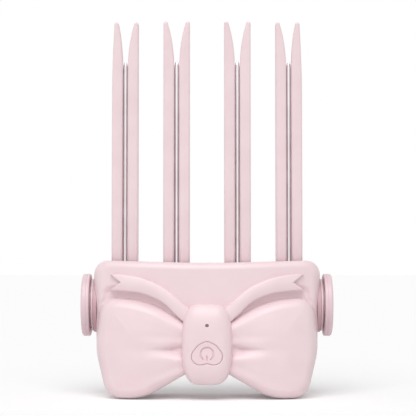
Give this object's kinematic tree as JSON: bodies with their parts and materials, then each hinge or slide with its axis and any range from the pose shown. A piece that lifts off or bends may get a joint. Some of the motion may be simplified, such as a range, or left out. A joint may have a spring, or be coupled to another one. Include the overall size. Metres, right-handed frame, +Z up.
{
  "type": "heated root volumizing clip",
  "caption": "Cordless heated root volumizing clip in pale pink plastic, with paired prongs, steel heating rods and a bow-shaped housing that stands on its two lobes.",
  "frame": {"origin": "centre of the bounding box in plan, on the resting plane", "axes": "+Z up along the prongs, front (bow) faces -Y, +X to the right of the bow"},
  "size_m": [0.088, 0.0342, 0.1321],
  "materials": {
    "pink_shell": "satin pale pink moulded plastic",
    "pink_comb": "smooth pale pink heat-resistant plastic",
    "polished_steel": "polished stainless steel",
    "spring_steel": "drawn spring wire",
    "dark_plastic": "glass-filled black plastic",
    "grey_plastic": "unpainted moulded plastic",
    "ceramic": "unglazed white ceramic",
    "mica": "pressed mica sheet",
    "board_green": "solder mask",
    "chip_black": "moulded chip body",
    "cell_foil": "laminated foil",
    "foam": "closed-cell foam",
    "lead_red": "silicone wire sleeve",
    "amber_film": "polyimide film",
    "silicone": "translucent silicone",
    "clear_lamp": "smoked clear plastic",
    "screw_steel": "zinc-plated steel"
  },
  "bodies": {
    "root": {"front_shell": "pink_shell", "rear_shell": "pink_shell", "knot_cover": "pink_shell", "left_guide_collar": "pink_shell", "right_guide_collar": "pink_shell", "prong_comb": "pink_comb", "hinge_pin": "polished_steel", "left_torsion_spring": "spring_steel", "right_torsion_spring": "spring_steel", "left_return_spring": "spring_steel", "right_return_spring": "spring_steel", "inner_frame": "grey_plastic", "heat_shield": "mica", "main_board": "board_green", "board_components": "chip_black", "power_switch": "chip_black", "battery_cell": "cell_foil", "usb_c_socket": "cell_foil", "battery_pads": "foam", "battery_leads": "lead_red", "heater_flex": "amber_film", "button_pad": "silicone", "led_light_pipe": "clear_lamp", "status_led": "clear_lamp", "case_screws": "screw_steel", "board_screws": "screw_steel", "frame_screws": "screw_steel", "comb_screws": "screw_steel"},
    "rod_carriage": {"rod_carrier": "dark_plastic", "thermistor": "chip_black", "heating_rod_1": "polished_steel", "heater_core_1": "ceramic", "rod_bush_1": "ceramic", "heating_rod_2": "polished_steel", "heater_core_2": "ceramic", "rod_bush_2": "ceramic", "heating_rod_3": "polished_steel", "heater_core_3": "ceramic", "rod_bush_3": "ceramic", "heating_rod_4": "polished_steel", "heater_core_4": "ceramic", "rod_bush_4": "ceramic"},
    "left_button": {"left_button_cap": "pink_shell", "left_plunger": "grey_plastic", "left_retaining_clip": "spring_steel"},
    "right_button": {"right_button_cap": "pink_shell", "right_plunger": "grey_plastic", "right_retaining_clip": "spring_steel"},
    "power_key": {"power_button": "pink_shell"}
  },
  "joints": [
    {"name": "rod_swing", "type": "hinge", "parent": "root", "child": "rod_carriage", "pos_m": [0, 0.0052, 0.0369], "axis": [1, 0, 0], "range_deg": [0, 12], "stiffness_Nm_per_rad": 0.05, "springref_deg": -17.19, "deforming": ["left_torsion_spring", "right_torsion_spring", "heater_flex"]},
    {"name": "left_press", "type": "slide", "parent": "root", "child": "left_button", "axis": [1, 0, 0], "range_m": [0, 0.00103], "stiffness_N_per_m": 10, "springref_m": -0.001, "deforming": ["left_return_spring"]},
    {"name": "right_press", "type": "slide", "parent": "root", "child": "right_button", "axis": [-1, 0, 0], "range_m": [0, 0.00103], "stiffness_N_per_m": 10, "springref_m": -0.001, "deforming": ["right_return_spring"]},
    {"name": "power_press", "type": "slide", "parent": "root", "child": "power_key", "axis": [0, 1, 0], "range_m": [0, 0.00035], "stiffness_N_per_m": 600, "springref_m": -0.0004, "deforming": ["button_pad"]}
  ],
  "couplings": [
    {"joint": "left_press", "follows": "rod_swing", "m_per_rad": 0.0049},
    {"joint": "right_press", "follows": "rod_swing", "m_per_rad": 0.0049}
  ]
}
